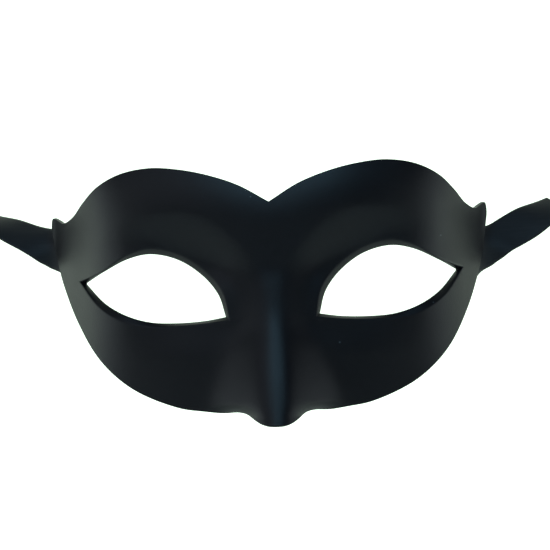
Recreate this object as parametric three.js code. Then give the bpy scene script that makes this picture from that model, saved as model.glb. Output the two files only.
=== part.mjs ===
// A half mask with ribbon ties: one moulded plastic shell and two ribbons glued behind its wings.
// Lengths are millimetres. +Z is up, -Y is the way the wearer looks, and +X is a viewer's right.
// The origin is on the inner face of the bridge, where the mask sits on the nose.
import * as THREE from "three";

// The shell's outline, seen from the front
const MASK_WIDTH = 180; // over both wing ends
const MASK_HEIGHT = 107; // crown of the brows to the tip of the nose
const WALL = 1.6; // moulded plastic
const EYE_GAP = 38.6; // between the inner corners of the two eye openings
const EYE_HEIGHT = 28; // the opening, lowest point to highest
const EYE_DROP = 13.4; // the opening's lowest point, below the bridge
const TEMPLE_WIDTH = 14.3; // outer corner of the opening to the end of the wing

// The eye opening's turned-in lip
const LIP_WIDTH = 3; // what shows of it from the front
const LIP_DEPTH = 3; // how far its free edge lies behind its crease, where it turns in most
const LIP_LAND = 2.6; // crease to the mesh's next ring, more than the wall takes up at the bend

// The shell's depth
const FACE_RADIUS = 130; // roundness of the front, seen from above
const WING_SPAN = 21.5; // end of the wing to the middle of its bend
const WING_SLOPE = 1.5; // how much steeper the wing is than the front
const WING_SOFTNESS = 4; // half-width of that bend
const WING_LEVEL = 10; // above the bridge, where the wing is longest
const WING_FAN = 0.1; // how much shorter it gets for each millimetre above and below
const FLANGE_WIDTH = 1.2; // out-turned end of the wing
const FLANGE_SLOPE = 2; // how much the flange turns back towards the front
const FLANGE_SOFTNESS = 0.9; // half-width of that bend
const CROWN_START = 24; // above the bridge, where the forehead starts to lean back
const CROWN_CLIMB = 7; // how much higher that is over the brows
const CROWN_ACROSS = 20; // how far out from the notch it climbs
const CROWN_RADIUS = 45; // of that lean
const SOCKET_DEPTH = 5.6; // eye socket under the brow
const SOCKET_REACH = 18.5; // crease of the lid to the ridge of the brow
const SOCKET_START = 5; // crease of the lid to the foot of the socket's slope
const NOSE_RISE = 22; // tip of the nose in front of the cheeks
const NOSE_CREST = 6.2; // half the width of its low crest
const NOSE_SKIRT = 25; // half its width at the foot of its sides
const NOSE_ROUND = 3; // roundness of the ridge
const CREST_SLOPE = 0.2; // the crest's slope, as a share of the sides' slope
const CREST_SOFTNESS = 1.2; // where the crest meets the sides
const SKIRT_SOFTNESS = 2.8; // at the foot of the sides
const NOSTRIL_ACROSS = 0.195; // where the bottom edge curls under most, a share of half the width
const NOSTRIL_UP = -0.475; // and the edge's height there, a share of the height
const NOSTRIL_TUCK = 4.2; // how far back it curls
const NOSTRIL_RISE = 4; // height of that curl
const NOSTRIL_SPREAD = 7; // how far it fades to either side
const NOSTRIL_LIMIT = 1.5; // rises of the curl, beyond which it goes no further

// The ribbons
const RIBBON_WIDTH = 16;
const RIBBON_THICKNESS = 1;
const RIBBON_HOLD = 12; // the stretch glued behind the wing
const RIBBON_REACH_LEFT = 28; // how far each ribbon reaches out beyond its wing
const RIBBON_REACH_RIGHT = 31;
const GLUE_GAP = 0.3;

// Mesh fineness
const RINGS = 11; // from the eye opening out to the edge
const ROW_STEPS = 3; // spokes for each row of the outline
const SEAM_STEPS = 5; // spokes for each row of the centre line
const SOCKET_SAMPLES = 120; // places round the eye that the socket is measured from
const HOLD_STEPS = 7; // along the glued stretch of a ribbon
const FREE_STEPS = 20; // along its free stretch
const RIBBON_COLUMNS = 4; // across it
const FORM_STEP = 0.05; // either side of a place, to find which way the front faces
const WING_STEP = 0.1; // along the inside of a wing
const ROUTE_STEP = 0.01; // along a ribbon, a share of its reach
const ON_CENTRE = 1e-6; // closer to the centre line than this, both halves share a point

// Half the outline, from the tip of the nose out and up round to the notch between the brows.
// across is a share of half the width and up of the height, from the bridge. lid is the place
// round the eye that the row's spoke starts from: 0 and 1 inner corner, 0.5 outer corner.
const OUTLINE = [
  { across: 0.0, up: -0.527, lid: 0.13 }, // tip of the nose
  { across: 0.062, up: -0.522, lid: 0.15 },
  { across: 0.095, up: -0.506, lid: 0.162 },
  { across: 0.13, up: -0.483, lid: 0.175 },
  { across: 0.165, up: -0.4745, lid: 0.19 }, // nostril
  { across: 0.24, up: -0.4755, lid: 0.217 },
  { across: 0.33, up: -0.466, lid: 0.247 },
  { across: 0.443, up: -0.449, lid: 0.28 }, // cheek
  { across: 0.644, up: -0.374, lid: 0.34 },
  { across: 0.789, up: -0.262, lid: 0.4 },
  { across: 0.89, up: -0.112, lid: 0.455 },
  { across: 0.953, up: 0.035, lid: 0.485 }, // foot of the wing's end
  { across: 0.97, up: 0.095, lid: 0.5 },
  { across: 0.989, up: 0.187, lid: 0.53 },
  { across: 1.0, up: 0.262, lid: 0.553 },
  { across: 0.992, up: 0.292, lid: 0.567 }, // horn of the wing
  { across: 0.97, up: 0.283, lid: 0.58 },
  { across: 0.945, up: 0.271, lid: 0.594 },
  { across: 0.899, up: 0.292, lid: 0.613 },
  { across: 0.85, up: 0.343, lid: 0.635 },
  { across: 0.78, up: 0.402, lid: 0.66 },
  { across: 0.674, up: 0.448, lid: 0.69 },
  { across: 0.54, up: 0.467, lid: 0.72 }, // crown
  { across: 0.404, up: 0.457, lid: 0.75 },
  { across: 0.27, up: 0.431, lid: 0.78 },
  { across: 0.135, up: 0.389, lid: 0.81 },
  { across: 0.0, up: 0.322, lid: 0.84 }, // notch
];

// The centre line, from the notch down to the tip of the nose.
const SEAM = [
  { up: 0.322, lid: 0.84 },
  { up: 0.14, lid: 0.9 },
  { up: -0.04, lid: 0.96 },
  { up: -0.2, lid: 1.0 },
  { up: -0.2, lid: 0.0 },
  { up: -0.36, lid: 0.06 },
  { up: -0.527, lid: 0.13 },
];

// The eye opening. across is a share of its width, from the inner corner, and up of its height,
// from its lowest point. lipAcross and lipUp, in lip widths, lead from its edge to the crease of the
// lip, and fold is a share of the lip's depth. drop, reach and start are the socket there, as shares
// of its depth, of its reach and of where its slope starts.
const LOWER_LID = [
  { across: 0.0, up: 0.062, lipAcross: -0.55, lipUp: -0.5, fold: 1.0, drop: 0.15, reach: 0.75, start: 0.2 },
  { across: 0.155, up: 0.015, lipAcross: -0.05, lipUp: -0.42, fold: 1.0, drop: 0.3, reach: 0.8, start: -0.6 },
  { across: 0.365, up: 0.0, lipAcross: 0.05, lipUp: -0.5, fold: 0.9, drop: 0.4, reach: 0.8, start: -1.2 },
  { across: 0.545, up: 0.028, lipAcross: 0.18, lipUp: -0.65, fold: 0.6, drop: 0.25, reach: 0.8, start: -1.2 },
  { across: 0.72, up: 0.138, lipAcross: 0.52, lipUp: -0.85, fold: 0.35, drop: 0.05, reach: 0.7, start: -1.0 },
  { across: 0.865, up: 0.32, lipAcross: 0.88, lipUp: -0.5, fold: 0.25, drop: 0.0, reach: 0.6, start: 0.0 },
  { across: 1.0, up: 0.617, lipAcross: 1.0, lipUp: 0.32, fold: 0.3, drop: 0.0, reach: 0.6, start: 0.4 },
];
const UPPER_LID = [
  { across: 1.0, up: 0.617, lipAcross: 1.0, lipUp: 0.32, fold: 0.3, drop: 0.0, reach: 0.6, start: 0.4 },
  { across: 0.865, up: 0.772, lipAcross: 0.1, lipUp: 0.24, fold: 0.5, drop: 0.0, reach: 0.6, start: 0.4 },
  { across: 0.69, up: 0.94, lipAcross: 0.14, lipUp: 0.6, fold: 0.9, drop: 0.1, reach: 0.7, start: 0.5 },
  { across: 0.525, up: 1.0, lipAcross: 0.03, lipUp: 0.84, fold: 1.0, drop: 0.4, reach: 0.8, start: 0.4 },
  { across: 0.33, up: 0.905, lipAcross: -0.3, lipUp: 0.75, fold: 1.0, drop: 0.95, reach: 1.0, start: 0.1 },
  { across: 0.155, up: 0.66, lipAcross: -0.6, lipUp: 0.5, fold: 1.0, drop: 0.9, reach: 1.0, start: 0.6 },
  { across: 0.048, up: 0.38, lipAcross: -0.72, lipUp: 0.2, fold: 1.0, drop: 0.33, reach: 0.95, start: 0.8 },
  { across: 0.0, up: 0.062, lipAcross: -0.55, lipUp: -0.5, fold: 1.0, drop: 0.15, reach: 0.75, start: 0.2 },
];

// The nose down its length: shares of its rise, of its crest's width and of its skirt's.
const NOSE = [
  { up: 0.084, rise: 0.0, crest: 0.3, skirt: 0.45 },
  { up: -0.01, rise: 0.075, crest: 0.38, skirt: 0.47 },
  { up: -0.13, rise: 0.215, crest: 0.55, skirt: 0.54 },
  { up: -0.243, rise: 0.445, crest: 0.88, skirt: 0.76 },
  { up: -0.402, rise: 0.77, crest: 1.0, skirt: 1.0 },
  { up: -0.533, rise: 1.0, crest: 1.0, skirt: 1.04 },
];

// Each ribbon from where it leaves its wing. out and back are shares of its reach, and turn is its
// twist in degrees. level is its height there, a share of the mask's, and climb its rise for each
// millimetre outwards.
const RIBBON_LEFT = {
  side: -1,
  reach: RIBBON_REACH_LEFT,
  level: 0.175,
  climb: 0.485,
  route: [
    { out: 0.0, back: 0.0, turn: 0 },
    { out: 0.14, back: 0.055, turn: 32 },
    { out: 0.31, back: 0.125, turn: 46 },
    { out: 0.52, back: 0.215, turn: 57 },
    { out: 0.74, back: 0.315, turn: 66 },
    { out: 1.0, back: 0.43, turn: 76 },
  ],
};
const RIBBON_RIGHT = {
  side: 1,
  reach: RIBBON_REACH_RIGHT,
  level: 0.122,
  climb: 0.535,
  route: [
    { out: 0.0, back: 0.0, turn: 0 },
    { out: 0.1, back: 0.04, turn: 28 },
    { out: 0.37, back: 0.155, turn: 38 },
    { out: 0.55, back: 0.235, turn: 42 },
    { out: 0.76, back: 0.33, turn: 53 },
    { out: 1.0, back: 0.44, turn: 66 },
  ],
};

const HALF_WIDTH = MASK_WIDTH / 2;
const EYE_INNER = EYE_GAP / 2;
const EYE_WIDTH = HALF_WIDTH - TEMPLE_WIDTH - EYE_INNER;

// The cubic between two values a and b, leaving with the slope ma and arriving with mb.
function cubic(a, ma, b, mb, t) {
  const [t2, t3] = [t * t, t * t * t];
  return (2 * t3 - 3 * t2 + 1) * a + (t3 - 2 * t2 + t) * ma
    + (3 * t2 - 2 * t3) * b + (t3 - t2) * mb;
}

// A table's column at a place u, counted in rows, as one smooth curve. The knots are the rows'
// positions along it. flat names the columns that start level, as on a centre line.
function smoothColumn(rows, knots, flat, column, u) {
  const last = rows.length - 1;
  const rate = (i) => (rows[i + 1][column] - rows[i][column]) / (knots[i + 1] - knots[i]);
  const slope = (i) => {
    if (i === 0) return flat.includes(column) ? 0 : rate(0);
    if (i === last) return rate(last - 1);
    const [before, after] = [knots[i] - knots[i - 1], knots[i + 1] - knots[i]];
    return (rate(i - 1) * after + rate(i) * before) / (before + after);
  };
  const i = Math.min(Math.max(Math.floor(u), 0), last - 1);
  const gap = knots[i + 1] - knots[i];
  return cubic(rows[i][column], slope(i) * gap, rows[i + 1][column], slope(i + 1) * gap, u - i);
}

// A curve drawn through a table of places.
function drawn(rows, place, flat = []) {
  const knots = [0];
  for (let i = 1; i < rows.length; i++) {
    knots.push(knots[i - 1] + Math.sqrt(place(rows[i]).distanceTo(place(rows[i - 1]))));
  }
  return (column, u) => smoothColumn(rows, knots, flat, column, u);
}

// A table read at a value of its first column, which grows or falls from row to row.
function readAt(rows, key, value, column, flat = []) {
  const knots = rows.map((row) => row[key]);
  const falls = knots[0] > knots[1];
  const share = THREE.MathUtils.clamp(value, Math.min(...knots), Math.max(...knots));
  const past = knots.findIndex((knot) => (falls ? knot < share : knot > share));
  const i = past < 0 ? rows.length - 2 : past - 1;
  return smoothColumn(rows, knots, flat, column, i + (share - knots[i]) / (knots[i + 1] - knots[i]));
}

const outlinePoint = (row) => new THREE.Vector2(row.across * HALF_WIDTH, row.up * MASK_HEIGHT);
const eyePoint = (row) => new THREE.Vector2(
  EYE_INNER + row.across * EYE_WIDTH,
  row.up * EYE_HEIGHT - EYE_DROP,
);
const outline = drawn(OUTLINE, outlinePoint, ["up"]);
const lowerLid = drawn(LOWER_LID, eyePoint);
const upperLid = drawn(UPPER_LID, eyePoint);

// The eye opening at lid, from 0 to 1: its edge, its lip's crease, and the socket beyond it.
function eyeAt(lid) {
  const [table, rows, start] = lid < 0.5 ? [lowerLid, LOWER_LID, 0] : [upperLid, UPPER_LID, 0.5];
  const u = (lid - start) * 2 * (rows.length - 1);
  const edge = eyePoint({ across: table("across", u), up: table("up", u) });
  const lip = new THREE.Vector2(table("lipAcross", u), table("lipUp", u));
  return {
    edge,
    crease: edge.clone().addScaledVector(lip, LIP_WIDTH),
    fold: table("fold", u) * LIP_DEPTH,
    drop: table("drop", u) * SOCKET_DEPTH,
    reach: table("reach", u) * SOCKET_REACH,
    start: table("start", u) * SOCKET_START,
  };
}

const aroundEye = Array.from({ length: SOCKET_SAMPLES + 1 }, (_, i) => eyeAt(i / SOCKET_SAMPLES));

// 0 before the bend and a slope of 1 after it, rounded over the softness.
function softRamp(distance, softness) {
  return softness * Math.log1p(Math.exp(distance / softness));
}

// How far the eye socket sinks the surface: full at the lid's crease, and nothing at its reach.
function socketAt(across, up) {
  let least = Infinity;
  let nearest = null;
  for (let i = 0; i < SOCKET_SAMPLES; i++) {
    const [a, b] = [aroundEye[i], aroundEye[i + 1]];
    const [runX, runY] = [b.crease.x - a.crease.x, b.crease.y - a.crease.y];
    const along = (across - a.crease.x) * runX + (up - a.crease.y) * runY;
    const t = THREE.MathUtils.clamp(along / (runX * runX + runY * runY), 0, 1);
    const distance = Math.hypot(across - a.crease.x - t * runX, up - a.crease.y - t * runY);
    if (distance < least) [least, nearest] = [distance, [a, b, t]];
  }
  const [a, b, t] = nearest;
  const here = (column) => THREE.MathUtils.lerp(a[column], b[column], t);
  return here("drop") * (1 - THREE.MathUtils.smoothstep(least, here("start"), here("reach")));
}

// A low round crest, and sides that run straight down into the cheeks.
function noseAt(across, up) {
  const read = (column) => readAt(NOSE, "up", up / MASK_HEIGHT, column, ["rise"]);
  const crest = read("crest") * NOSE_CREST;
  const skirt = read("skirt") * NOSE_SKIRT;
  const lost = 1 - CREST_SLOPE; // what the crest leaves out of the sides' slope
  const side = (read("rise") * NOSE_RISE) / (skirt - NOSE_ROUND - lost * (crest - NOSE_ROUND));
  const ridge = Math.hypot(across, NOSE_ROUND);
  return side * (softRamp(skirt - ridge, SKIRT_SOFTNESS)
    - lost * softRamp(crest - ridge, CREST_SOFTNESS));
}

// The bottom edge beside the nose curls under.
function tuckAt(across, up) {
  const top = NOSTRIL_UP * MASK_HEIGHT + NOSTRIL_RISE;
  const side = (across - NOSTRIL_ACROSS * HALF_WIDTH) / NOSTRIL_SPREAD;
  const under = THREE.MathUtils.clamp((top - up) / NOSTRIL_RISE, 0, NOSTRIL_LIMIT);
  return NOSTRIL_TUCK * under * under * Math.exp(-side * side);
}

// How far the front surface lies behind the vertical plane through the bridge.
function depthOfForm(x, up) {
  const across = Math.abs(x);
  const round = (across * across) / (2 * FACE_RADIUS);
  const fan = WING_FAN * (Math.hypot(up - WING_LEVEL, WING_LEVEL) - WING_LEVEL);
  const wing = WING_SLOPE * softRamp(across - (HALF_WIDTH - WING_SPAN + fan), WING_SOFTNESS);
  const flange = FLANGE_SLOPE * softRamp(across - (HALF_WIDTH - FLANGE_WIDTH), FLANGE_SOFTNESS);
  const climb = CROWN_CLIMB * (1 - Math.exp(-((across / CROWN_ACROSS) ** 2)));
  const crown = Math.max(up - CROWN_START - climb, 0) ** 2 / (2 * CROWN_RADIUS);
  return round + wing - flange + crown
    + socketAt(across, up) - noseAt(across, up) + tuckAt(across, up);
}

const BRIDGE_DEPTH = depthOfForm(0, 0);
const frontPoint = (x, up) => new THREE.Vector3(x, depthOfForm(x, up) - BRIDGE_DEPTH - WALL, up);

// The front's outward direction, from small steps either side.
function frontNormal(x, up) {
  const step = FORM_STEP;
  const slopeX = (depthOfForm(x + step, up) - depthOfForm(x - step, up)) / (2 * step);
  const slopeZ = (depthOfForm(x, up + step) - depthOfForm(x, up - step)) / (2 * step);
  return new THREE.Vector3(slopeX, -1, slopeZ).normalize();
}

// One spoke of the shell's net, from the lip's crease out to a place on the edge.
function spokeTo(edgePlace, lid) {
  const eye = eyeAt(lid);
  const land = LIP_LAND / edgePlace.distanceTo(eye.crease);
  const places = Array.from({ length: RINGS + 1 }, (_, ring) => {
    const share = ring === 0 ? 0 : land + (1 - land) * ((ring - 1) / (RINGS - 1));
    return eye.crease.clone().lerp(edgePlace, share);
  });
  const front = places.map((place) => frontPoint(place.x, place.y));
  const normals = places.map((place) => frontNormal(place.x, place.y));
  const lipEdge = new THREE.Vector3(eye.edge.x, front[0].y + eye.fold, eye.edge.y);
  return { front, normals, lipEdge };
}

// The spokes of one half, in order round the eye: the outline's, then the centre line's.
function halfSpokes() {
  const spokes = [];
  for (let k = 0; k < (OUTLINE.length - 1) * ROW_STEPS; k++) {
    const u = k / ROW_STEPS;
    const [row, next] = OUTLINE.slice(Math.floor(u));
    const place = outlinePoint({ across: outline("across", u), up: outline("up", u) });
    spokes.push(spokeTo(place, THREE.MathUtils.lerp(row.lid, next.lid, u % 1)));
  }
  const seamStart = spokes.length;
  for (let k = 0; k < (SEAM.length - 1) * SEAM_STEPS; k++) {
    const u = k / SEAM_STEPS;
    const [row, next] = SEAM.slice(Math.floor(u));
    if (row.up === next.up) continue;
    const up = THREE.MathUtils.lerp(row.up, next.up, u % 1) * MASK_HEIGHT;
    spokes.push(spokeTo(new THREE.Vector2(0, up), THREE.MathUtils.lerp(row.lid, next.lid, u % 1)));
  }
  return { spokes, seamStart };
}

// The way the lip's front faces: into the opening, and square to the lip's own run.
function lipFacing(spoke, before, after) {
  const alongLid = after.lipEdge.clone().sub(before.lipEdge);
  const inward = new THREE.Vector3(alongLid.z, 0, -alongLid.x).normalize();
  const down = spoke.lipEdge.clone().sub(spoke.front[0]).normalize();
  if (inward.dot(down) < 0) inward.negate();
  return inward.addScaledVector(down, -inward.dot(down)).normalize();
}

// The closed section along one spoke: front, back, and the lip's back and free edge.
function sectionLoop(spoke, before, after) {
  const { front, normals, lipEdge } = spoke;
  const facing = lipFacing(spoke, before, after);
  const bend = WALL / Math.max(1 + normals[0].dot(facing), 1);
  const innerCrease = front[0].clone().addScaledVector(normals[0].clone().add(facing), -bend);
  const back = front.map((p, ring) => p.clone().addScaledVector(normals[ring], -WALL));
  back[0] = innerCrease;
  const lipBack = lipEdge.clone().addScaledVector(facing, -WALL);
  return [...front, ...back.reverse(), lipBack, lipEdge];
}

function meshFrom(name, positions, faces, material) {
  const geometry = new THREE.BufferGeometry();
  geometry.setAttribute("position", new THREE.Float32BufferAttribute(positions, 3));
  geometry.setIndex(faces);
  geometry.computeVertexNormals();
  const mesh = new THREE.Mesh(geometry, material);
  mesh.name = name;
  return mesh;
}

// Both halves of the shell, joined along the centre line.
function shellMesh(material) {
  const { spokes, seamStart } = halfSpokes();
  const n = spokes.length;
  const loops = spokes.map((spoke, i) => (
    sectionLoop(spoke, spokes[(i + n - 1) % n], spokes[(i + 1) % n])));
  const positions = [];
  const faces = [];
  const add = (x, y, z) => positions.push(x, y, z) / 3 - 1;
  const right = loops.map((loop) => loop.map((p) => add(p.x, p.y, p.z)));
  const left = loops.map((loop, i) => loop.map((p, j) => (
    Math.abs(p.x) < ON_CENTRE ? right[i][j] : add(-p.x, p.y, p.z))));
  const perLoop = loops[0].length;
  for (let i = 0; i < n; i++) {
    const next = (i + 1) % n;
    for (let j = 0; j < perLoop; j++) {
      // the halves meet here, with no wall between them
      if (j === RINGS && i >= seamStart) continue;
      const m = (j + 1) % perLoop;
      const [a, b, c, d] = [right[i][j], right[i][m], right[next][m], right[next][j]];
      faces.push(a, b, c, a, c, d);
      const [e, f, g, h] = [left[i][j], left[i][m], left[next][m], left[next][j]];
      faces.push(e, g, f, e, h, g);
    }
  }
  return meshFrom("mask_shell", positions, faces, material);
}

// Places along the inside of a wing at one level, as x and the distance run, back from its end.
function wingRun(level) {
  const step = WING_STEP;
  const run = [{ x: HALF_WIDTH, run: 0 }];
  let last = run[0];
  while (last.run < RIBBON_HOLD + RIBBON_WIDTH) {
    const slope = frontPoint(last.x, level).y - frontPoint(last.x - step, level).y;
    last = { x: last.x - step, run: last.run + Math.hypot(step, slope) };
    run.push(last);
  }
  return run;
}

// A ribbon on the +X side, as rows of places across it, each with the direction of its back.
function ribbonRows(tie) {
  const lift = Math.atan(tie.climb);
  const level = tie.level * MASK_HEIGHT;
  const run = wingRun(level);
  const acrossAt = (distance) => {
    if (distance <= 0) return HALF_WIDTH - distance;
    return run.find((place) => place.run >= distance).x;
  };
  const columns = Array.from({ length: RIBBON_COLUMNS + 1 }, (_, i) => (
    (i / RIBBON_COLUMNS - 0.5) * RIBBON_WIDTH));
  const rows = [];
  // glued: the ribbon follows the inside of the wing
  for (let k = 0; k < HOLD_STEPS; k++) {
    const held = RIBBON_HOLD * (1 - k / HOLD_STEPS);
    rows.push(columns.map((w) => {
      const x = acrossAt(held * Math.cos(lift) + w * Math.sin(lift));
      const up = level - held * Math.sin(lift) + w * Math.cos(lift);
      const normal = frontNormal(x, up);
      const place = frontPoint(x, up).addScaledVector(normal, -WALL - GLUE_GAP);
      return { place, back: normal.negate() };
    }));
  }
  // free: it pulls out and up, and twists
  const normal = frontNormal(HALF_WIDTH, level);
  const end = frontPoint(HALF_WIDTH, level).addScaledVector(normal, -WALL - GLUE_GAP);
  const routeAt = (out, column) => readAt(tie.route, "out", out, column);
  const centre = (out) => new THREE.Vector3(
    end.x + out * tie.reach,
    end.y + routeAt(out, "back") * tie.reach,
    end.z + out * tie.reach * tie.climb,
  );
  for (let k = 0; k <= FREE_STEPS; k++) {
    const out = k / FREE_STEPS;
    const [near, far] = [Math.max(out - ROUTE_STEP, 0), Math.min(out + ROUTE_STEP, 1)];
    const along = centre(far).sub(centre(near)).normalize();
    const across = new THREE.Vector3(0, 0, 1).addScaledVector(along, -along.z).normalize();
    const turn = THREE.MathUtils.degToRad(routeAt(out, "turn"));
    const back = across.clone().cross(along).normalize();
    across.applyAxisAngle(along, -turn);
    back.applyAxisAngle(along, -turn);
    rows.push(columns.map((w) => ({ place: centre(out).addScaledVector(across, w), back })));
  }
  return rows;
}

function ribbonMesh(name, tie, material) {
  const rows = ribbonRows(tie);
  const width = RIBBON_COLUMNS + 1;
  const positions = [];
  for (const thickness of [0, RIBBON_THICKNESS]) {
    for (const row of rows) {
      for (const { place, back } of row) {
        const p = place.clone().addScaledVector(back, thickness);
        positions.push(tie.side * p.x, p.y, p.z);
      }
    }
  }
  const behind = rows.length * width;
  const faces = [];
  const quad = (a, b, c, d) => {
    if (tie.side > 0) faces.push(a, b, c, a, c, d);
    else faces.push(a, c, b, a, d, c);
  };
  for (let i = 0; i + 1 < rows.length; i++) {
    for (let j = 0; j + 1 < width; j++) {
      const a = i * width + j;
      quad(a, a + width, a + width + 1, a + 1);
      quad(behind + a, behind + a + 1, behind + a + width + 1, behind + a + width);
    }
    const [low, high] = [i * width, (i + 1) * width - 1];
    quad(low, behind + low, behind + low + width, low + width);
    quad(high, high + width, behind + high + width, behind + high);
  }
  for (let j = 0; j + 1 < width; j++) {
    const tip = behind - width + j;
    quad(j, j + 1, behind + j + 1, behind + j);
    quad(tip, behind + tip, behind + tip + 1, tip + 1);
  }
  return meshFrom(name, positions, faces, material);
}

const shellPlastic = new THREE.MeshStandardMaterial({ color: 0x14181e, roughness: 0.5, metalness: 0 });
const ribbonSatin = new THREE.MeshStandardMaterial({ color: 0x161a28, roughness: 0.55, metalness: 0 });

const mask = new THREE.Group();
mask.name = "half_mask";
mask.add(shellMesh(shellPlastic));
mask.add(ribbonMesh("ribbon_left", RIBBON_LEFT, ribbonSatin));
mask.add(ribbonMesh("ribbon_right", RIBBON_RIGHT, ribbonSatin));

export default mask;
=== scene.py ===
"""A half mask with ribbon ties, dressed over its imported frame: one moulded shell and two satin ribbons.

Blender works in metres. The mask's forms are worked out in millimetres, from named sizes and from
tables that hold shares of them, and are scaled as each mesh is made.
"""
import math

import bpy
import numpy as np
from mathutils import Matrix, Vector


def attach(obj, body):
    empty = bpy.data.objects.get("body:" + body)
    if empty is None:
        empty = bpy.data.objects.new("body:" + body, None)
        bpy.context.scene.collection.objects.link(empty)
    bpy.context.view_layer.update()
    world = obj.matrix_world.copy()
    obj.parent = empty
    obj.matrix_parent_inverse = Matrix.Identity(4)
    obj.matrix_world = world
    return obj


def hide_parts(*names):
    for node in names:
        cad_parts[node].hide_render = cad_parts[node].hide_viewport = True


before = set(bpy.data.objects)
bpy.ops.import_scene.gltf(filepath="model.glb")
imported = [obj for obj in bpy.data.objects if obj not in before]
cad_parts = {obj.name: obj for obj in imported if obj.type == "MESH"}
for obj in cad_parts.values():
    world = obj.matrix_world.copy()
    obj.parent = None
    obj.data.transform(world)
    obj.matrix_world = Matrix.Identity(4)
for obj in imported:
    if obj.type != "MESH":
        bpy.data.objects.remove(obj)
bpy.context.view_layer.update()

bl_info = {
    "name": "Half Mask with Ribbon Ties",
    "version": (1, 0, 0),
    "blender": (4, 5, 0),
    "location": "3D View > Sidebar > Half Mask",
    "description": "Builds the moulded shell, its ribbons and a pale studio round the packed frame",
    "category": "Add Mesh",
}

MM = 0.001

# The shell's form, in millimetres. The front faces -Y, and the origin is inside the bridge.
HALF_WIDTH = 90.0
HEIGHT = 107.0
EYE_INNER = 19.3  # centre line to the opening's inner corner
EYE_WIDTH = 56.4
EYE_HEIGHT = 28.0
EYE_DROP = 13.4
LIP_LAND = 2.6
FACE_RADIUS = 130.0
WING_SPAN = 21.5
WING_SLOPE = 1.5
WING_SOFTNESS = 4.0
WING_LEVEL = 10.0
WING_FAN = 0.1
FLANGE_WIDTH = 1.2
FLANGE_SLOPE = 2.0
FLANGE_SOFTNESS = 0.9
CROWN_START = 24.0
CROWN_CLIMB = 7.0
CROWN_ACROSS = 20.0
CROWN_RADIUS = 45.0
SOCKET_DEPTH = 5.6
SOCKET_REACH = 18.5
SOCKET_START = 5.0
NOSE_RISE = 22.0
NOSE_CREST = 6.2
NOSE_SKIRT = 25.0
NOSE_ROUND = 3.0
CREST_SOFTNESS = 1.2
CREST_SLOPE = 0.2  # of the nose's side
SKIRT_SOFTNESS = 2.8
NOSTRIL_TUCK = 4.2
NOSTRIL_RISE = 4.0
NOSTRIL_SPREAD = 7.0
NOSTRIL_ACROSS = 0.195  # shares of the half width and of the height
NOSTRIL_UP = -0.475
NOSTRIL_LIMIT = 1.5  # the curl goes no further than this many times its rise
LIP_WIDTH = 3.0
INNER_ROUND = 1.2  # behind the lip's crease
ROUND_SHARE = 0.45  # the most of a side that one of its rounded corners takes up

# How finely the shell and the ribbons are drawn
RINGS = 32
ROW_STEPS = 8
SEAM_STEPS = 12
SOCKET_SAMPLES = 240
ROUND_STEPS = 4
HOLD_STEPS = 16
FREE_STEPS = 60
RIBBON_COLUMNS = 14
SATIN_EASE = 6
RING_CROWDING = 1.35  # over 1, the rings lie closer towards the edge
FORM_STEP = 0.05
WING_STEP = 0.05
WING_SEARCH = 14.0  # how far in from the wing's end its inside is followed
ROUTE_STEP = 0.01  # a share of the ribbon's reach
ON_CENTRE = 1e-6


def table(columns, *rows):
    """A table as one array for each named column."""
    return dict(zip(columns.split(), np.array(rows, float).T))


# Half the outline, from the tip of the nose out and up round to the notch. across is a share of the
# half width, up of the height, and lid the place round the eye that the row's spoke starts from.
OUTLINE = table(
    "across up lid",
    (0.0, -0.527, 0.13),
    (0.062, -0.522, 0.15),
    (0.095, -0.506, 0.162),
    (0.13, -0.483, 0.175),
    (0.165, -0.4745, 0.19),
    (0.24, -0.4755, 0.217),
    (0.33, -0.466, 0.247),
    (0.443, -0.449, 0.28),
    (0.644, -0.374, 0.34),
    (0.789, -0.262, 0.4),
    (0.89, -0.112, 0.455),
    (0.953, 0.035, 0.485),
    (0.97, 0.095, 0.5),
    (0.989, 0.187, 0.53),
    (1.0, 0.262, 0.553),
    (0.992, 0.292, 0.567),
    (0.97, 0.283, 0.58),
    (0.945, 0.271, 0.594),
    (0.899, 0.292, 0.613),
    (0.85, 0.343, 0.635),
    (0.78, 0.402, 0.66),
    (0.674, 0.448, 0.69),
    (0.54, 0.467, 0.72),
    (0.404, 0.457, 0.75),
    (0.27, 0.431, 0.78),
    (0.135, 0.389, 0.81),
    (0.0, 0.322, 0.84),
)

# The centre line, from the notch down to the tip of the nose, above and below the inner corner.
SEAM_UPPER = table("up lid", (0.322, 0.84), (0.14, 0.9), (-0.04, 0.96), (-0.2, 1.0))
SEAM_LOWER = table("up lid", (-0.2, 0.0), (-0.36, 0.06), (-0.527, 0.13))

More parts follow.
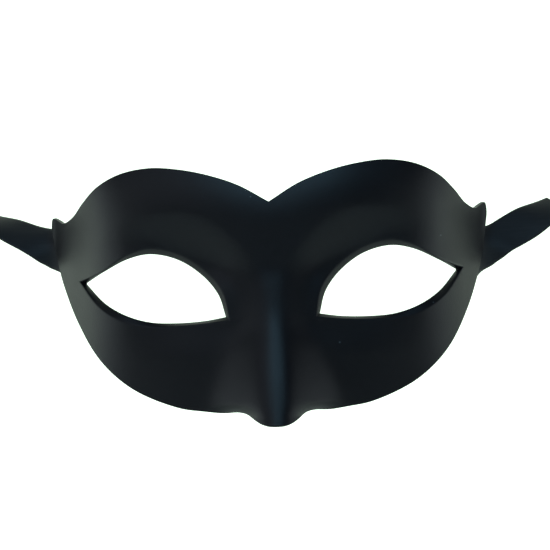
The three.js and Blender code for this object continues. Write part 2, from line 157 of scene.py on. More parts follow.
# The eye opening. across and up are shares of its size, lip_x and lip_z of the lip's width, and fold
# of its depth. drop, reach and start are shares of the socket's depth, of how far it reaches from the
# lip's crease, and of where its slope starts from there.
LOWER_LID = table(
    "across up lip_x lip_z fold drop reach start",
    (0.0, 0.062, -0.55, -0.5, 1.0, 0.15, 0.75, 0.2),
    (0.155, 0.015, -0.05, -0.42, 1.0, 0.3, 0.8, -0.6),
    (0.365, 0.0, 0.05, -0.5, 0.9, 0.4, 0.8, -1.2),
    (0.545, 0.028, 0.18, -0.65, 0.6, 0.25, 0.8, -1.2),
    (0.72, 0.138, 0.52, -0.85, 0.35, 0.05, 0.7, -1.0),
    (0.865, 0.32, 0.88, -0.5, 0.25, 0.0, 0.6, 0.0),
    (1.0, 0.617, 1.0, 0.32, 0.3, 0.0, 0.6, 0.4),
)
UPPER_LID = table(
    "across up lip_x lip_z fold drop reach start",
    (1.0, 0.617, 1.0, 0.32, 0.3, 0.0, 0.6, 0.4),
    (0.865, 0.772, 0.1, 0.24, 0.5, 0.0, 0.6, 0.4),
    (0.69, 0.94, 0.14, 0.6, 0.9, 0.1, 0.7, 0.5),
    (0.525, 1.0, 0.03, 0.84, 1.0, 0.4, 0.8, 0.4),
    (0.33, 0.905, -0.3, 0.75, 1.0, 0.95, 1.0, 0.1),
    (0.155, 0.66, -0.6, 0.5, 1.0, 0.9, 1.0, 0.6),
    (0.048, 0.38, -0.72, 0.2, 1.0, 0.33, 0.95, 0.8),
    (0.0, 0.062, -0.55, -0.5, 1.0, 0.15, 0.75, 0.2),
)

# The nose down its length: shares of its rise, of its crest's width and of the width of its skirt.
NOSE = table(
    "up rise crest skirt",
    (0.084, 0.0, 0.3, 0.45),
    (-0.01, 0.075, 0.38, 0.47),
    (-0.13, 0.215, 0.55, 0.54),
    (-0.243, 0.445, 0.88, 0.76),
    (-0.402, 0.77, 1.0, 1.0),
    (-0.533, 1.0, 1.0, 1.04),
)

# Each ribbon beyond its wing: out and back are shares of its reach, and turn is its twist in degrees.
RIBBONS = {
    "ribbon_left": {
        "side": -1,
        "reach": 28.0,
        "level": 0.175,
        "climb": 0.485,
        "route": table(
            "out back turn",
            (0.0, 0.0, 0),
            (0.14, 0.055, 32),
            (0.31, 0.125, 46),
            (0.52, 0.215, 57),
            (0.74, 0.315, 66),
            (1.0, 0.43, 76),
        ),
    },
    "ribbon_right": {
        "side": 1,
        "reach": 31.0,
        "level": 0.122,
        "climb": 0.535,
        "route": table(
            "out back turn",
            (0.0, 0.0, 0),
            (0.1, 0.04, 28),
            (0.37, 0.155, 38),
            (0.55, 0.235, 42),
            (0.76, 0.33, 53),
            (1.0, 0.44, 66),
        ),
    },
}
RIBBON_HOLD = 12.0
GLUE_GAP = 0.3
RIPPLE = 0.3
RIPPLE_LENGTH = 3.6  # along the ribbon, for one radian of the wave
RIPPLE_LAG = 1.3  # from the ribbon's middle to its side, in radians
RIPPLE_START = 2.0  # beyond the glued stretch
RIPPLE_GROWTH = 8.0
CUP = 0.3
SELVEDGE_SHARE = 0.9  # outside this share of the half width lies the woven edge
SELVEDGE_THICKENING = 1.45

# Pale flecks of dust caught in the finish: across, up and radius in millimetres.
FLECKS = ((69.8, 18.1, 0.42), (-7.2, 36.6, 0.45), (26.7, -23.8, 0.5), (65.6, -9.1, 0.4))


# Curves through tables


def smooth_column(rows, knots, column, u, flat=()):
    """A column at places u, counted in rows, as one smooth curve. flat columns start level."""
    values = rows[column]
    gaps = np.diff(knots)
    rates = np.diff(values) / gaps
    slopes = np.empty_like(values)
    slopes[1:-1] = (rates[:-1] * gaps[1:] + rates[1:] * gaps[:-1]) / (gaps[:-1] + gaps[1:])
    slopes[0] = 0.0 if column in flat else rates[0]
    slopes[-1] = rates[-1]
    i = np.clip(np.floor(u).astype(int), 0, len(values) - 2)
    t = u - i
    t2, t3 = t * t, t * t * t
    return (
        (2 * t3 - 3 * t2 + 1) * values[i]
        + (t3 - 2 * t2 + t) * slopes[i] * gaps[i]
        + (3 * t2 - 2 * t3) * values[i + 1]
        + (t3 - t2) * slopes[i + 1] * gaps[i]
    )


def knots_of(x, z):
    """Positions of a table's rows along the curve that they draw."""
    return np.concatenate([[0.0], np.cumsum(np.sqrt(np.hypot(np.diff(x), np.diff(z))))])


def read_at(rows, key, value, column, flat=()):
    """A table read at values of its first column, which grows or falls from row to row."""
    knots = rows[key]
    falls = knots[0] > knots[1]
    value = np.clip(value, knots.min(), knots.max())
    order = knots[::-1] if falls else knots
    past = np.interp(value, order, np.arange(len(knots), dtype=float))
    if falls:
        past = len(knots) - 1 - past
    i = np.clip(np.floor(past).astype(int), 0, len(knots) - 2)
    u = i + (value - knots[i]) / (knots[i + 1] - knots[i])
    return smooth_column(rows, knots, column, u, flat)


def blend_rows(values, places):
    """Values between rows in straight steps, at places counted in rows."""
    return np.interp(places, np.arange(len(values)), values)


# The shell's form


def eye_at(lid, lip_width):
    """The opening's edge, its lip's crease and the socket beyond, at places round the eye, 0 to 1."""
    edge = np.empty((len(lid), 2))
    lip = np.empty((len(lid), 2))
    shares = {column: np.empty(len(lid)) for column in ("fold", "drop", "reach", "start")}
    for rows, start, mine in ((LOWER_LID, 0.0, lid < 0.5), (UPPER_LID, 0.5, lid >= 0.5)):
        knots = knots_of(rows["across"] * EYE_WIDTH, rows["up"] * EYE_HEIGHT)
        u = (lid[mine] - start) * 2 * (len(knots) - 1)
        read = {column: smooth_column(rows, knots, column, u) for column in rows}
        edge[mine, 0] = EYE_INNER + read["across"] * EYE_WIDTH
        edge[mine, 1] = read["up"] * EYE_HEIGHT - EYE_DROP
        lip[mine] = np.stack([read["lip_x"], read["lip_z"]], 1) * lip_width
        shares["fold"][mine] = read["fold"]
        shares["drop"][mine] = read["drop"] * SOCKET_DEPTH
        shares["reach"][mine] = read["reach"] * SOCKET_REACH
        shares["start"][mine] = read["start"] * SOCKET_START
    return {"edge": edge, "crease": edge + lip, **shares}


AROUND_EYE = eye_at(np.linspace(0, 1, SOCKET_SAMPLES + 1), LIP_WIDTH)


def soft_ramp(distance, softness):
    """0 before a bend and a slope of 1 after it, rounded over the softness."""
    return softness * np.logaddexp(0.0, distance / softness)


def socket_at(across, up):
    """How far the eye socket sinks the surface."""
    crease = AROUND_EYE["crease"]
    run = np.diff(crease, axis=0)
    dx = across[:, None] - crease[None, :-1, 0]
    dz = up[:, None] - crease[None, :-1, 1]
    t = np.clip((dx * run[:, 0] + dz * run[:, 1]) / (run**2).sum(1), 0, 1)
    distance = np.hypot(dx - t * run[:, 0], dz - t * run[:, 1])
    nearest = distance.argmin(1)
    rows = np.arange(len(across))
    place = nearest + t[rows, nearest]
    drop, reach, start = (blend_rows(AROUND_EYE[column], place) for column in ("drop", "reach", "start"))
    share = np.clip((distance[rows, nearest] - start) / (reach - start), 0, 1)
    return drop * (1 - share * share * (3 - 2 * share))


def nose_at(across, up):
    """A low round crest, and sides that run straight down into the cheeks."""
    read = {c: read_at(NOSE, "up", up / HEIGHT, c, ("rise",)) for c in ("rise", "crest", "skirt")}
    crest = read["crest"] * NOSE_CREST
    skirt = read["skirt"] * NOSE_SKIRT
    side = read["rise"] * NOSE_RISE / (skirt - NOSE_ROUND - (1 - CREST_SLOPE) * (crest - NOSE_ROUND))
    ridge = np.hypot(across, NOSE_ROUND)
    top = (1 - CREST_SLOPE) * soft_ramp(crest - ridge, CREST_SOFTNESS)
    return side * (soft_ramp(skirt - ridge, SKIRT_SOFTNESS) - top)


def tuck_at(across, up):
    """The bottom edge beside the nose curls under."""
    top = NOSTRIL_UP * HEIGHT + NOSTRIL_RISE
    side = (across - NOSTRIL_ACROSS * HALF_WIDTH) / NOSTRIL_SPREAD
    under = np.clip((top - up) / NOSTRIL_RISE, 0, NOSTRIL_LIMIT)
    return NOSTRIL_TUCK * under * under * np.exp(-side * side)


def depth_of_form(x, up):
    """How far the front lies behind the vertical plane through the bridge."""
    across = np.abs(x)
    fan = WING_FAN * (np.hypot(up - WING_LEVEL, WING_LEVEL) - WING_LEVEL)
    wing = WING_SLOPE * soft_ramp(across - (HALF_WIDTH - WING_SPAN + fan), WING_SOFTNESS)
    flange = FLANGE_SLOPE * soft_ramp(across - (HALF_WIDTH - FLANGE_WIDTH), FLANGE_SOFTNESS)
    brow = CROWN_START + CROWN_CLIMB * (1 - np.exp(-((across / CROWN_ACROSS) ** 2)))
    crown = np.maximum(up - brow, 0) ** 2 / (2 * CROWN_RADIUS)
    return (
        across * across / (2 * FACE_RADIUS)
        + wing
        - flange
        + crown
        + socket_at(across, up)
        - nose_at(across, up)
        + tuck_at(across, up)
    )


BRIDGE_DEPTH = depth_of_form(np.zeros(1), np.zeros(1))[0]


def front_points(x, up, wall):
    """Places on the front surface, for arrays of any one shape."""
    depth = depth_of_form(np.ravel(x), np.ravel(up)).reshape(np.shape(x))
    return np.stack([x, depth - BRIDGE_DEPTH - wall, up], -1)


def front_normals(x, up):
    """The front's outward direction, from small steps either side."""
    step = FORM_STEP
    flat_x, flat_up = np.ravel(x), np.ravel(up)
    slope_x = (depth_of_form(flat_x + step, flat_up) - depth_of_form(flat_x - step, flat_up)) / (2 * step)
    slope_z = (depth_of_form(flat_x, flat_up + step) - depth_of_form(flat_x, flat_up - step)) / (2 * step)
    return unit(np.stack([slope_x, -np.ones_like(slope_x), slope_z], -1)).reshape(*np.shape(x), 3)


def unit(vectors):
    return vectors / np.maximum(np.linalg.norm(vectors, axis=-1, keepdims=True), 1e-9)


def rounded(before, corner, after, radius):
    """Points of a round corner, between the sides that lead to before and after."""
    to_before, to_after = before - corner, after - corner
    reach_before = np.minimum(radius, np.linalg.norm(to_before, axis=-1, keepdims=True) * ROUND_SHARE)
    reach_after = np.minimum(radius, np.linalg.norm(to_after, axis=-1, keepdims=True) * ROUND_SHARE)
    start = corner + unit(to_before) * reach_before
    end = corner + unit(to_after) * reach_after
    t = np.linspace(0, 1, ROUND_STEPS + 1)[:, None, None]
    points = (1 - t) ** 2 * start + 2 * t * (1 - t) * corner + t**2 * end
    return points.transpose(1, 0, 2)


def spoke_ends():
    """Places on the edge and round the eye that the spokes join, and where the centre line starts."""
    u = np.arange((len(OUTLINE["lid"]) - 1) * ROW_STEPS) / ROW_STEPS
    knots = knots_of(OUTLINE["across"] * HALF_WIDTH, OUTLINE["up"] * HEIGHT)
    x = smooth_column(OUTLINE, knots, "across", u) * HALF_WIDTH
    z = smooth_column(OUTLINE, knots, "up", u, ("up",)) * HEIGHT
    lid = blend_rows(OUTLINE["lid"], u)
    seam_start = len(x)
    for rows in (SEAM_UPPER, SEAM_LOWER):
        last = rows is SEAM_LOWER
        u = np.arange((len(rows["lid"]) - 1) * SEAM_STEPS) / SEAM_STEPS
        x = np.concatenate([x, np.zeros(len(u))])
        z = np.concatenate([z, blend_rows(rows["up"], u) * HEIGHT])
        lid = np.concatenate([lid, blend_rows(rows["lid"], u)])
    return np.stack([x, z], 1), lid, seam_start


def shell_sections(wall, lip_width, lip_depth, rim_round, crease_round):
    """The closed section along each spoke of one half, and the steps that the centre line leaves out."""
    ends, lid, seam_start = spoke_ends()
    eye = eye_at(lid, lip_width)
    crease, edge = eye["crease"], eye["edge"]
    length = np.linalg.norm(ends - crease, axis=1)[:, None]
    land = np.minimum(LIP_LAND / length, ROUND_SHARE)
    # the rings close up towards the edge, where the form curls most
    share = 1 - np.linspace(1, 0, RINGS - 2)[None, :] ** RING_CROWDING
    share = np.concatenate([0 * land, land * 0.4, land * 0.7, land + (1 - land) * share], 1)
    places = crease[:, None, :] + (ends - crease)[:, None, :] * share[:, :, None]
    front = front_points(places[..., 0], places[..., 1], wall)
    normals = front_normals(places[..., 0], places[..., 1])
    lip_edge = np.stack([edge[:, 0], front[:, 0, 1] + lip_depth * eye["fold"], edge[:, 1]], 1)

    along = np.roll(lip_edge, -1, 0) - np.roll(lip_edge, 1, 0)
    inward = unit(np.stack([along[:, 2], 0 * along[:, 0], -along[:, 0]], 1))
    down = unit(lip_edge - front[:, 0])
    inward *= np.where((inward * down).sum(1, keepdims=True) < 0, -1, 1)
    facing = unit(inward - down * (inward * down).sum(1, keepdims=True))

    bend = wall / np.maximum(1 + (normals[:, 0] * facing).sum(1, keepdims=True), 1)
    back = front - normals * wall
    back[:, 0] = front[:, 0] - (normals[:, 0] + facing) * bend
    lip_back = lip_edge - facing * wall

    # the corners, in order: rim front, rim back, inner crease, lip back, lip edge, crease
    rim_front = rounded(front[:, -2], front[:, -1], back[:, -1], rim_round)
    rim_back = rounded(front[:, -1], back[:, -1], back[:, -2], rim_round)
    for centred in (0, seam_start):
        rim_front[centred, :, 0] = 0.0
        rim_back[centred, :, 0] = 0.0
    seam = np.arange(len(lid)) > seam_start
    rim_front[seam] = front[seam, -1:]
    rim_back[seam] = back[seam, -1:]
    inner = rounded(back[:, 1], back[:, 0], lip_back, INNER_ROUND)
    lip_back_round = rounded(back[:, 0], lip_back, lip_edge, rim_round)
    lip_round = rounded(lip_back, lip_edge, front[:, 0], rim_round)
    crease_arc = rounded(lip_edge, front[:, 0], front[:, 1], crease_round)
    middle_lip = (lip_round[:, -1:] + crease_arc[:, :1]) / 2
    loop = np.concatenate(
        [
            front[:, 1:-1],
            rim_front,
            rim_back,
            back[:, -2:0:-1],
            inner,
            lip_back_round,
            lip_round,
            middle_lip,
            crease_arc,
        ],
        1,
    )
    rim_first = front.shape[1] - 2
    return loop, seam_start, (rim_first, rim_first + 2 * (ROUND_STEPS + 1) - 1)


def shell_mesh(settings):
    """Both halves of the shell, joined along the centre line, as points in metres and faces."""
    loop, seam_start, (rim_first, rim_last) = shell_sections(
        settings.wall / MM,
        settings.lip_width / MM,
        settings.lip_depth / MM,
        settings.rim_round / MM,
        settings.crease_round / MM,
    )
    spokes, steps = loop.shape[:2]
    on_centre = np.abs(loop[..., 0]) < ON_CENTRE
    loop[..., 0][on_centre] = 0.0
    right = np.arange(spokes * steps).reshape(spokes, steps)
    # the rim's points on the centre line fall together, so each keeps its first
    for i in range(seam_start + 1, spokes):
        right[i, rim_first : rim_first + ROUND_STEPS + 1] = right[i, rim_first]
        right[i, rim_first + ROUND_STEPS + 1 : rim_last + 1] = right[i, rim_last]
    left = np.where(on_centre, right, right + spokes * steps)
    mirrored = loop * (-1.0, 1.0, 1.0)
    points = np.concatenate([loop.reshape(-1, 3), mirrored.reshape(-1, 3)])
    faces = []
    for side, flip in ((right, False), (left, True)):
        for i in range(spokes):
            after = (i + 1) % spokes
            for j in range(steps):
                m = (j + 1) % steps
                if i >= seam_start and rim_first <= j < rim_last:
                    # beside the notch and the tip, the rim's end closes on the centre line
                    continue
                quad = [side[i, j], side[i, m], side[after, m], side[after, j]]
                faces.append(quad[::-1] if flip else quad)
    return points * MM, faces


# Ribbons


def wing_run(level, wall, length):
    """Distance along the inside of a wing at one level, back from its end, and the place across."""
    x = np.arange(HALF_WIDTH, HALF_WIDTH - WING_SEARCH, -WING_STEP)
    y = front_points(x, np.full_like(x, level), wall)[:, 1]
    run = np.concatenate([[0.0], np.cumsum(np.hypot(np.diff(x), np.diff(y)))])
    return lambda distance: np.where(
        distance <= 0, HALF_WIDTH - distance, np.interp(distance, run, x)
    )


def ribbon_rows(tie, width, wall):
    """Places across a ribbon on the +X side, row by row, and the direction of its back there."""
    lift = math.atan(tie["climb"])
    level = tie["level"] * HEIGHT
    across_at = wing_run(level, wall, RIBBON_HOLD + width)
    w = np.linspace(-0.5, 0.5, RIBBON_COLUMNS + 1)[None, :] * width
    # glued: the ribbon follows the inside of the wing
    held = RIBBON_HOLD * (1 - np.arange(HOLD_STEPS) / HOLD_STEPS)[:, None]
    x = across_at(held * math.cos(lift) + w * math.sin(lift))
    up = level - held * math.sin(lift) + w * math.cos(lift)
    normals = front_normals(x, up)
    places = front_points(x, up, wall) - normals * (wall + GLUE_GAP)
    backs = -normals
    # free: it pulls out and up, and twists
    end_x, end_up = np.array([HALF_WIDTH]), np.array([level])
    end = (front_points(end_x, end_up, wall) - front_normals(end_x, end_up) * (wall + GLUE_GAP))[0]
    route, reach = tie["route"], tie["reach"]

    def centre(out):
        back = read_at(route, "out", out, "back")
        return end + np.stack([out, back, out * tie["climb"]], -1) * reach

    out = np.arange(FREE_STEPS + 1) / FREE_STEPS
    near, far = np.maximum(out - ROUTE_STEP, 0), np.minimum(out + ROUTE_STEP, 1)
    along = unit(centre(far) - centre(near))
    rise = np.array([0.0, 0.0, 1.0])
    level_across = unit(rise - along * along[:, 2:])
    level_back = unit(np.cross(level_across, along))
    turn = np.radians(read_at(route, "out", out, "turn"))[:, None]
    across = level_across * np.cos(turn) + level_back * np.sin(turn)
    back = level_back * np.cos(turn) - level_across * np.sin(turn)
    free = centre(out)[:, None, :] + across[:, None, :] * w[..., None]
    places = np.concatenate([places, free])
    backs = np.concatenate([backs, np.repeat(back[:, None, :], w.shape[1], 1)])
    return places, backs


def ribbon_mesh(tie, settings):
    """A thin ribbon with thicker selvedges, as points in metres, faces and its flat length."""
    width = settings.width / MM
    places, backs = ribbon_rows(tie, width, bpy.context.scene.half_mask_shell.wall / MM)
    rows, columns = places.shape[:2]
    middle = places[:, columns // 2]
    length = np.linalg.norm(np.diff(middle, axis=0), axis=1).sum()
    # satin has no sharp crease where it leaves the wing
    for _ in range(SATIN_EASE):
        places[1:-1] = (places[:-2] + 2 * places[1:-1] + places[2:]) / 4
    # the free stretch ripples softly, less by the wing
    along = np.concatenate([[0.0], np.cumsum(np.linalg.norm(np.diff(middle, axis=0), axis=1))])
    free = np.clip((along - RIBBON_HOLD - RIPPLE_START) / RIPPLE_GROWTH, 0, 1)[:, None]
    w = np.linspace(-1, 1, columns)[None, :]
    wave = np.sin(along[:, None] / RIPPLE_LENGTH + RIPPLE_LAG * w)
    ripple = RIPPLE * wave * (0.4 + 0.6 * w**2)
    cup = CUP * (w**2 - 0.4)
    places = places + backs * (free * (ripple + cup))[..., None]
    selvedge = np.where(np.abs(w) > SELVEDGE_SHARE, SELVEDGE_THICKENING, 1.0)
    thickness = selvedge * settings.thickness / MM * np.ones((rows, 1))
    rear = places + backs * thickness[..., None]
    points = np.concatenate([places.reshape(-1, 3), rear.reshape(-1, 3)]) * (tie["side"], 1, 1)
    near = np.arange(rows * columns).reshape(rows, columns)
    far = near + rows * columns
    faces = []
    for i in range(rows - 1):
        for j in range(columns - 1):
            faces.append([near[i, j], near[i + 1, j], near[i + 1, j + 1], near[i, j + 1]])
            faces.append([far[i, j], far[i, j + 1], far[i + 1, j + 1], far[i + 1, j]])
        faces.append([near[i, 0], far[i, 0], far[i + 1, 0], near[i + 1, 0]])
        faces.append([near[i, -1], near[i + 1, -1], far[i + 1, -1], far[i, -1]])
    for j in range(columns - 1):
        faces.append([near[0, j], near[0, j + 1], far[0, j + 1], far[0, j]])
        faces.append([near[-1, j], far[-1, j], far[-1, j + 1], near[-1, j + 1]])
    if tie["side"] < 0:
        faces = [face[::-1] for face in faces]
    return points * MM, faces, length * MM


# Materials


def linear(hex_colour):
    """An sRGB hex value as a linear colour with alpha."""
    channels = [int(hex_colour[i : i + 2], 16) / 255 for i in (1, 3, 5)]
    return (*[c / 12.92 if c <= 0.04045 else ((c + 0.055) / 1.055) ** 2.4 for c in channels], 1.0)


def node(tree, kind, inputs=None, **settings):
    """Add a node, set its properties, and fill or link its inputs."""
    made = tree.nodes.new(kind)
    for name, value in settings.items():
        setattr(made, name, value)
    for name, value in (inputs or {}).items():
        if isinstance(value, bpy.types.NodeSocket):
            tree.links.new(value, made.inputs[name])
        else:
            made.inputs[name].default_value = value
    return made


def new_material(name):
    material = bpy.data.materials.new(name)
    material.use_nodes = True
    material.node_tree.nodes.clear()
    return material, material.node_tree


def moulded_matt_plastic(colour):
    """Black polystyrene, vacuum formed over a mould and sprayed matt."""
    material, tree = new_material("polystyrene_formed_and_sprayed_matt_black")
    place = node(tree, "ShaderNodeTexCoord").outputs["Object"]
    # the spray's grain is 0.2 mm, drawn at 0.7 mm so that it shows as a slight tooth in the sheen
    grain = node(tree, "ShaderNodeTexNoise", {"Vector": place, "Scale": 1 / 0.0007, "Detail": 3.0})
    # the sheet drew unevenly over the mould, so broad patches are a little smoother than others
    drawn = node(tree, "ShaderNodeTexNoise", {"Vector": place, "Scale": 1 / 0.028, "Detail": 2.0})
    roughness = node(
        tree,
        "ShaderNodeMapRange",
        {"Value": drawn.outputs["Fac"], "From Min": 0.3, "From Max": 0.7, "To Min": 0.4, "To Max": 0.46},
    )
    flat = node(tree, "ShaderNodeVectorMath", {0: place, 1: (1, 0, 1)}, operation="MULTIPLY")
    fleck = None
    for x, z, radius in FLECKS:
        centre = (x * MM, 0, z * MM)
        away = node(tree, "ShaderNodeVectorMath", {0: flat.outputs[0], 1: centre}, operation="DISTANCE")
        dot = node(
            tree,
            "ShaderNodeMapRange",
            {
                "Value": away.outputs["Value"],
                "From Min": radius * MM,
                "From Max": radius * MM * 0.4,
            },
        ).outputs["Result"]
        fleck = dot if fleck is None else node(
            tree, "ShaderNodeMath", {0: fleck, 1: dot}, operation="MAXIMUM"
        ).outputs[0]
    tint = node(
        tree,
        "ShaderNodeMix",
        {"Factor": fleck, "A": linear(colour), "B": linear("#3a4348")},
        data_type="RGBA",
    )
    bump = node(
        tree,
        "ShaderNodeBump",
        {"Height": grain.outputs["Fac"], "Strength": 0.3, "Distance": 0.0001},
    )
    shader = node(
        tree,
        "ShaderNodeBsdfPrincipled",
        {
            "Base Color": tint.outputs["Result"],
            "Roughness": roughness.outputs["Result"],
            "IOR": 1.5,
            "Specular IOR Level": 0.285,
            "Normal": bump.outputs["Normal"],
        },
    )
    node(tree, "ShaderNodeOutputMaterial", {"Surface": shader.outputs["BSDF"]})
    return material


def woven_satin(colour, name):
    """Polyester satin ribbon, woven and dyed: long floats give a soft sheen across the ribbon."""
    material, tree = new_material(name)
    place = node(tree, "ShaderNodeTexCoord").outputs["Object"]
    # the floats lie 0.1 mm apart, drawn at 0.5 mm so that they show as fine lines along the ribbon
    stretched = node(tree, "ShaderNodeMapping", {"Vector": place, "Scale": (80.0, 80.0, 2000.0)})
    floats = node(
        tree,
        "ShaderNodeTexNoise",
        {"Vector": stretched.outputs["Vector"], "Scale": 1.0, "Detail": 2.0},
    )
    tint = node(
        tree,
        "ShaderNodeMix",
        {"Factor": floats.outputs["Fac"], "A": linear(colour), "B": linear("#26272a")},
        data_type="RGBA",
    )
    bump = node(
        tree, "ShaderNodeBump", {"Height": floats.outputs["Fac"], "Strength": 0.2, "Distance": 0.0001}
    )
    shader = node(
        tree,
        "ShaderNodeBsdfPrincipled",
        {
            "Base Color": tint.outputs["Result"],
            "Roughness": 0.62,
            "IOR": 1.5,
            "Specular IOR Level": 0.3,
            "Normal": bump.outputs["Normal"],
        },
    )
    node(tree, "ShaderNodeOutputMaterial", {"Surface": shader.outputs["BSDF"]})
    return material


def paper_with_painted_glow(brightness, floor_brightness):
    """Seamless pale paper backdrop that glows with painted light: a little on the floor under the mask, and
    so brightly behind that it reads as white.
    """
    material, tree = new_material("paper_backdrop_painted_glow")
    place = node(tree, "ShaderNodeTexCoord").outputs["Object"]
    back = node(tree, "ShaderNodeSeparateXYZ", {"Vector": place}).outputs["Y"]
    # painted light: the paper's own glow, rising from the floor's dim value near the mask to the backdrop's
    # bright value behind, stands in for light falling on it and also lights the mask
    glow = node(
        tree,
        "ShaderNodeMapRange",
        {"Value": back, "From Min": -0.15, "From Max": 0.4, "To Min": floor_brightness, "To Max": brightness},
        interpolation_type="SMOOTHSTEP",
    )
    shader = node(
        tree,
        "ShaderNodeBsdfPrincipled",
        {
            "Base Color": linear("#e2e6ea"),
            "Roughness": 0.9,
            "Emission Color": linear("#edffec"),
            "Emission Strength": glow.outputs["Result"],
        },
    )
    node(tree, "ShaderNodeOutputMaterial", {"Surface": shader.outputs["BSDF"]})
    return material


# Pieces


def add_piece(name, points, faces, material):
    """A smooth mesh object made from points and faces."""
    mesh = bpy.data.meshes.new(name)
    mesh.from_pydata([tuple(p) for p in points], [], [tuple(int(i) for i in f) for f in faces])
    mesh.validate()
    mesh.shade_smooth()
    mesh.materials.append(material)
    piece = bpy.data.objects.new(name, mesh)
    bpy.context.scene.collection.objects.link(piece)
    return piece


def drop_loose_points(piece):
    """Delete the points that no face uses."""
    used = {v for face in piece.data.polygons for v in face.vertices}
    keep = [v.index in used for v in piece.data.vertices]
    order = np.cumsum(keep) - 1
    points = [tuple(v.co) for v in piece.data.vertices if keep[v.index]]
    faces = [tuple(int(order[v]) for v in face.vertices) for face in piece.data.polygons]
    material = piece.data.materials[0]
    name = piece.name
    old = piece.data
    bpy.data.objects.remove(piece)
    bpy.data.meshes.remove(old)
    return add_piece(name, points, faces, material)


class ShellSettings(bpy.types.PropertyGroup):
    wall: bpy.props.FloatProperty(
        name="Wall", description="Thickness of the shell", default=0.0016, unit="LENGTH", min=0.001
    )
    lip_width: bpy.props.FloatProperty(
        name="Lip width", description="What shows of the eye's lip", default=0.003, unit="LENGTH"
    )
    lip_depth: bpy.props.FloatProperty(
        name="Lip depth", description="How far the lip turns in", default=0.003, unit="LENGTH"
    )
    rim_round: bpy.props.FloatProperty(
        name="Rim round", description="Rounding of the cut edges", default=0.0006, unit="LENGTH"
    )
    crease_round: bpy.props.FloatProperty(
        name="Crease round", description="Rounding of the lip's crease", default=0.0007, unit="LENGTH"
    )
    colour: bpy.props.StringProperty(
        name="Colour", description="Colour of the plastic, as sRGB hex", default="#0b0b10"
    )


class RibbonSettings(bpy.types.PropertyGroup):
    width: bpy.props.FloatProperty(
        name="Width", description="Width of the ribbon", default=0.016, unit="LENGTH"
    )
    thickness: bpy.props.FloatProperty(
        name="Thickness", description="Thickness of the ribbon", default=0.00035, unit="LENGTH"
    )
    colour: bpy.props.StringProperty(
        name="Colour", description="Colour of the satin, as sRGB hex", default="#191a1d"
    )


class StageSettings(bpy.types.PropertyGroup):
    distance: bpy.props.FloatProperty(
        name="Camera distance", description="Camera to the bridge", default=3.0, unit="LENGTH"
    )
    roll: bpy.props.FloatProperty(
        name="Camera roll", description="Tilt of the picture", default=math.radians(2.2), subtype="ANGLE"
    )
    floor_level: bpy.props.FloatProperty(
        name="Floor level", description="Height of the floor", default=-0.16, unit="LENGTH"
    )
    # backdrop and floor set the strength of the paper's painted glow
    backdrop: bpy.props.FloatProperty(
        name="Backdrop", description="Brightness of the backdrop", default=1.18, min=0.0
    )
    floor: bpy.props.FloatProperty(
        name="Floor", description="Brightness that the paper adds under the mask", default=0.12, min=0.0
    )
    left_light: bpy.props.FloatProperty(
        name="Left light", description="Brightness of the left panel", default=1.35, min=0.0
    )
    right_light: bpy.props.FloatProperty(
        name="Right light", description="Brightness of the right panel", default=1.08, min=0.0
    )
    top_light: bpy.props.FloatProperty(
        name="Top light", description="Brightness of the overhead panel", default=3.0, min=0.0
    )
    window: bpy.props.FloatProperty(
        name="Window", description="Brightness of the wide panel above the left side", default=0.6, min=0.0
    )
    room: bpy.props.FloatProperty(
        name="Room", description="Brightness of the dim room in front", default=0.05, min=0.0
    )


class HALFMASK_OT_shell(bpy.types.Operator):
    """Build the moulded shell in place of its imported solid"""

    bl_idname = "half_mask.shell"
    bl_label = "Shell"

    def execute(self, context):
        settings = context.scene.half_mask_shell
        points, faces = shell_mesh(settings)
        piece = add_piece("shell", points, faces, moulded_matt_plastic(settings.colour))
        piece = drop_loose_points(piece)
        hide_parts("mask_shell")
        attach(piece, "root")
        return {"FINISHED"}


class HALFMASK_OT_ribbons(bpy.types.Operator):
    """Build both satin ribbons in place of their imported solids"""

    bl_idname = "half_mask.ribbons"
    bl_label = "Ribbons"

    def execute(self, context):
        settings = context.scene.half_mask_ribbon
        satin = woven_satin(settings.colour, "polyester_satin_woven_and_dyed_navy_black")
        for name, tie in RIBBONS.items():
            points, faces, length = ribbon_mesh(tie, settings)
            piece = add_piece(name + "_satin", points, faces, satin)
            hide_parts(name)
            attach(piece, "root")
        return {"FINISHED"}


def panel_light(name, place, width, height, brightness, colour):
    """A soft rectangular light that looks at the mask. brightness is what it shows to the mask."""
    light = bpy.data.lights.new(name, "AREA")
    light.shape = "RECTANGLE"
    light.size = width
    light.size_y = height
    light.energy = brightness * math.pi * width * height
    light.color = linear(colour)[:3]
    lamp = bpy.data.objects.new(name, light)
    lamp.location = place
    lamp.rotation_euler = (-Vector(place)).to_track_quat("-Z", "Y").to_euler()
    lamp.visible_camera = False
    bpy.context.scene.collection.objects.link(lamp)
    return lamp


# The stage, in metres
PAPER_FRONT = -1.6
PAPER_WALL = 4.8
PAPER_CURVE = 0.8
PAPER_TOP = 8.0
PAPER_SIDES = (-8.0, 5.0)
PAPER_STEPS = 12
SENSOR_WIDTH = 36.0  # millimetres
PICTURE_WIDTH = 0.2244  # what the picture spans at the middle of the mask's depth
MIDDLE_DEPTH = 0.02
CAMERA_ACROSS = 0.0015
CAMERA_UP = 0.00446


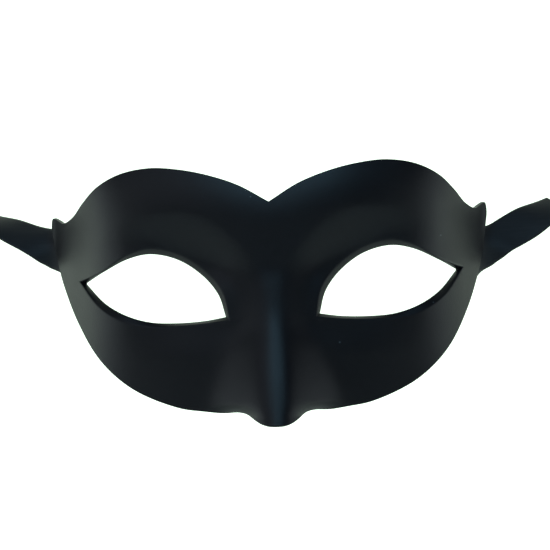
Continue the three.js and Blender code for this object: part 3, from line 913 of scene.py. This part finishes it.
class HALFMASK_OT_stage(bpy.types.Operator):
    """Build the pale floor and backdrop, the soft lights and the camera"""

    bl_idname = "half_mask.stage"
    bl_label = "Stage"

    def execute(self, context):
        settings = context.scene.half_mask_stage
        # the paper lies flat, curves up behind and stands as a wall, with room to look from behind
        floor, curve = settings.floor_level, PAPER_CURVE
        section = [(PAPER_FRONT, floor)]
        for i in range(PAPER_STEPS + 1):
            angle = math.radians(90 * i / PAPER_STEPS)
            along = PAPER_WALL - curve + curve * math.sin(angle)
            section.append((along, floor + curve * (1 - math.cos(angle))))
        section.append((PAPER_WALL, PAPER_TOP))
        points = [(x, y, z) for y, z in section for x in PAPER_SIDES]
        faces = [(2 * i, 2 * i + 1, 2 * i + 3, 2 * i + 2) for i in range(len(section) - 1)]
        # the paper glows with painted light, dim under the mask and bright behind
        backdrop = add_piece("backdrop", points, faces, paper_with_painted_glow(settings.backdrop, settings.floor))

        panel_light("side_panel_left", (-1.0, 0.0, 0.0), 1.0, 0.8, settings.left_light, "#dfedf4")
        panel_light("side_panel_right", (1.0, 0.0, 0.0), 1.0, 0.8, settings.right_light, "#dfedf4")
        panel_light("top_panel", (0.08, -0.86, 0.84), 0.75, 0.6, settings.top_light, "#a7dfff")
        panel_light("window", (-0.75, -0.95, 0.85), 1.3, 1.2, settings.window, "#e9f2ff")

        world = bpy.data.worlds.new("dim_room")
        world.use_nodes = True
        # the room reflects dimly in the mask, and shows pale where no paper stands behind it
        tree = world.node_tree
        tree.nodes.clear()
        seen = node(tree, "ShaderNodeLightPath").outputs["Is Camera Ray"]
        dim = node(tree, "ShaderNodeBackground", {"Color": linear("#e0dcf0"), "Strength": settings.room})
        pale = node(tree, "ShaderNodeBackground", {"Color": linear("#e9eaea"), "Strength": 1.0})
        shown = node(
            tree,
            "ShaderNodeMixShader",
            {0: seen, 1: dim.outputs["Background"], 2: pale.outputs["Background"]},
        )
        node(tree, "ShaderNodeOutputWorld", {"Surface": shown.outputs["Shader"]})
        context.scene.world = world
        context.scene.view_settings.view_transform = "Standard"

        # level and square to the mask
        camera = bpy.data.cameras.new("camera")
        camera.sensor_width = SENSOR_WIDTH
        camera.lens = SENSOR_WIDTH * (settings.distance + MIDDLE_DEPTH) / PICTURE_WIDTH
        camera.clip_end = 50.0
        eye = bpy.data.objects.new("camera", camera)
        turn = Matrix.Rotation(math.radians(90), 4, "X") @ Matrix.Rotation(-settings.roll, 4, "Z")
        place = Matrix.Translation((CAMERA_ACROSS, -settings.distance, CAMERA_UP))
        eye.matrix_world = place @ turn
        context.scene.collection.objects.link(eye)
        context.scene.camera = eye
        return {"FINISHED"}


class HALFMASK_PT_panel(bpy.types.Panel):
    """Settings and steps of the half mask"""

    bl_idname = "HALFMASK_PT_panel"
    bl_label = "Half Mask"
    bl_space_type = "VIEW_3D"
    bl_region_type = "UI"
    bl_category = "Half Mask"

    def draw(self, context):
        scene = context.scene
        for operator, settings in (
            ("half_mask.shell", scene.half_mask_shell),
            ("half_mask.ribbons", scene.half_mask_ribbon),
            ("half_mask.stage", scene.half_mask_stage),
        ):
            box = self.layout.box()
            for name in settings.__annotations__:
                box.prop(settings, name)
            box.operator(operator)


CLASSES = (
    ShellSettings,
    RibbonSettings,
    StageSettings,
    HALFMASK_OT_shell,
    HALFMASK_OT_ribbons,
    HALFMASK_OT_stage,
    HALFMASK_PT_panel,
)
SETTINGS = {
    "half_mask_shell": ShellSettings,
    "half_mask_ribbon": RibbonSettings,
    "half_mask_stage": StageSettings,
}


def register():
    for made in CLASSES:
        bpy.utils.register_class(made)
    for name, group in SETTINGS.items():
        setattr(bpy.types.Scene, name, bpy.props.PointerProperty(type=group))


def unregister():
    for name in SETTINGS:
        delattr(bpy.types.Scene, name)
    for made in reversed(CLASSES):
        bpy.utils.unregister_class(made)


def main():
    register()
    bpy.ops.half_mask.shell()
    bpy.ops.half_mask.ribbons()
    bpy.ops.half_mask.stage()


if __name__ == "__main__":
    main()
